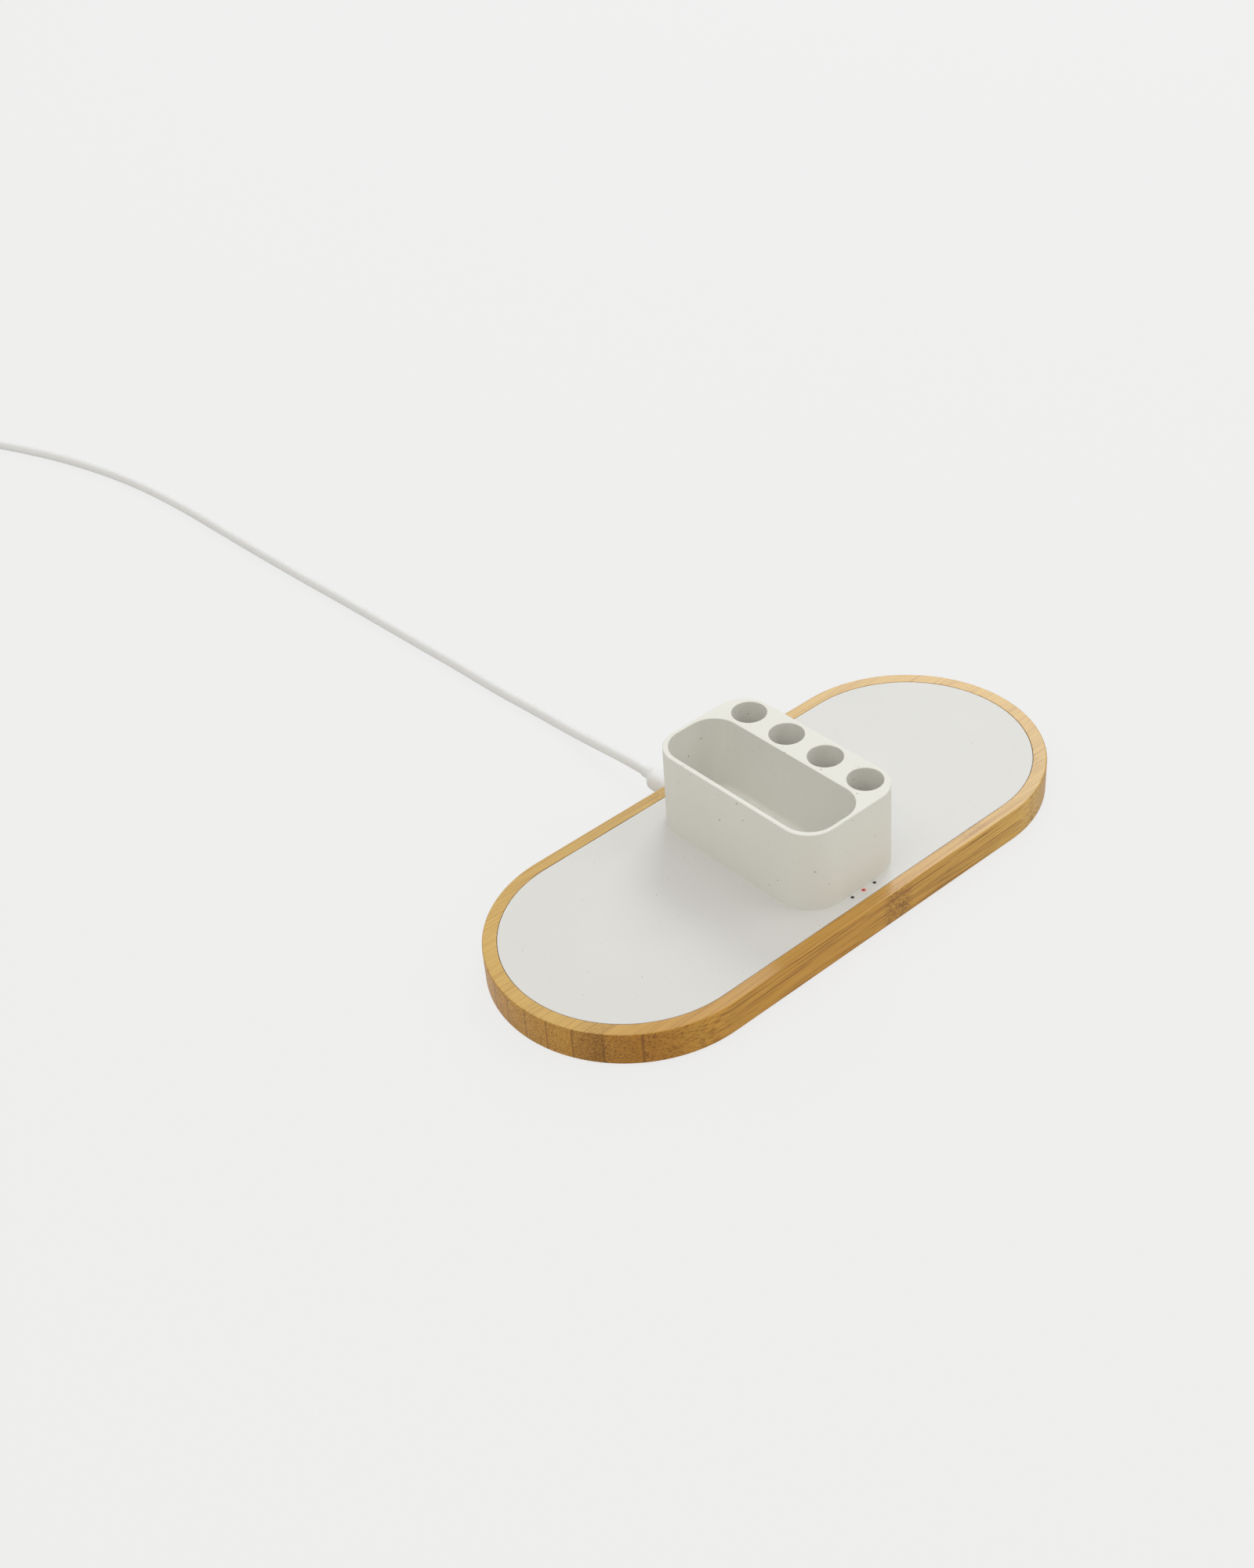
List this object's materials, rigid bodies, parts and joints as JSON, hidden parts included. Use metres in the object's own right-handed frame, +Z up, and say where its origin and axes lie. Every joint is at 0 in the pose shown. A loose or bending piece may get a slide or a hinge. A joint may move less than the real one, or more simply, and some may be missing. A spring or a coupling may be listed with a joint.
{
  "type": "wireless charger with pen holder",
  "caption": "Stadium-shaped bamboo and white wireless charging tray with a central pen holder and a plug-in USB-C cable.",
  "frame": {"origin": "on the desk, below the middle of the tray", "axes": "+X along the tray, towards the end beside the pen wells; -Y the front edge with the indicator lights; +Y the back, where the cable plugs in; +Z up"},
  "size_m": [0.2764, 0.6592, 0.0505],
  "materials": {
    "bamboo": "satin clear-coated laminated bamboo",
    "white_composite": "matte warm white with sparse fine specks",
    "base_plastic": "matte light grey",
    "rubber": "matte",
    "screw_steel": "plated",
    "board_green": "solder mask",
    "ferrite_grey": "matte ferrite",
    "chip_black": "matte",
    "capacitor_tan": "ceramic",
    "led_cream": "gloss",
    "copper": "enamelled copper wire",
    "clear_dark": "clear pin, unlit",
    "clear_red": "clear pin, lit red",
    "plated_steel": "nickel plated",
    "contact_black": "moulded contact carrier",
    "cord_white": "satin white elastomer"
  },
  "bodies": {
    "charger": {"base_screw_1": "screw_steel", "base_screw_2": "screw_steel", "base_screw_3": "screw_steel", "base_screw_4": "screw_steel", "base_screw_5": "screw_steel", "base_screw_6": "screw_steel", "rubber_foot_1": "rubber", "rubber_foot_2": "rubber", "rubber_foot_3": "rubber", "rubber_foot_4": "rubber", "pen_holder_screw_1": "screw_steel", "pen_holder_screw_2": "screw_steel", "pen_holder_screw_3": "screw_steel", "pen_holder_screw_4": "screw_steel", "board_screw_1": "screw_steel", "board_screw_2": "screw_steel", "board_screw_3": "screw_steel", "board_screw_4": "screw_steel", "power_inductor_1": "ferrite_grey", "power_inductor_2": "ferrite_grey", "power_inductor_3": "ferrite_grey", "power_inductor_4": "ferrite_grey", "controller_chip_1": "chip_black", "controller_chip_2": "chip_black", "controller_chip_3": "chip_black", "resonant_capacitor_1": "capacitor_tan", "resonant_capacitor_2": "capacitor_tan", "resonant_capacitor_3": "capacitor_tan", "resonant_capacitor_4": "capacitor_tan", "resonant_capacitor_5": "capacitor_tan", "resonant_capacitor_6": "capacitor_tan", "resonant_capacitor_7": "capacitor_tan", "resonant_capacitor_8": "capacitor_tan", "indicator_led_1": "led_cream", "indicator_led_2": "led_cream", "indicator_led_3": "led_cream", "bamboo_frame": "bamboo", "top_plate": "white_composite", "base_plate": "base_plastic", "pen_holder": "white_composite", "main_board": "board_green", "light_pipe_left": "clear_dark", "light_pipe_power": "clear_red", "light_pipe_right": "clear_dark", "coil_left": "copper", "ferrite_left": "ferrite_grey", "coil_right": "copper", "ferrite_right": "ferrite_grey", "usb_c_socket_shell": "plated_steel", "usb_c_socket_tongue": "contact_black"},
    "cable": {"usb_c_plug_shell": "plated_steel", "usb_c_grip": "cord_white", "cord_run": "cord_white", "cord_coil": "cord_white", "usb_a_grip": "cord_white", "usb_a_shell": "plated_steel", "usb_a_insert": "contact_black"}
  },
  "joints": [
    {"name": "usb_plug_slide", "type": "slide", "parent": "charger", "child": "cable", "axis": [0, 1, 0], "range_m": [0, 0.01]}
  ]
}
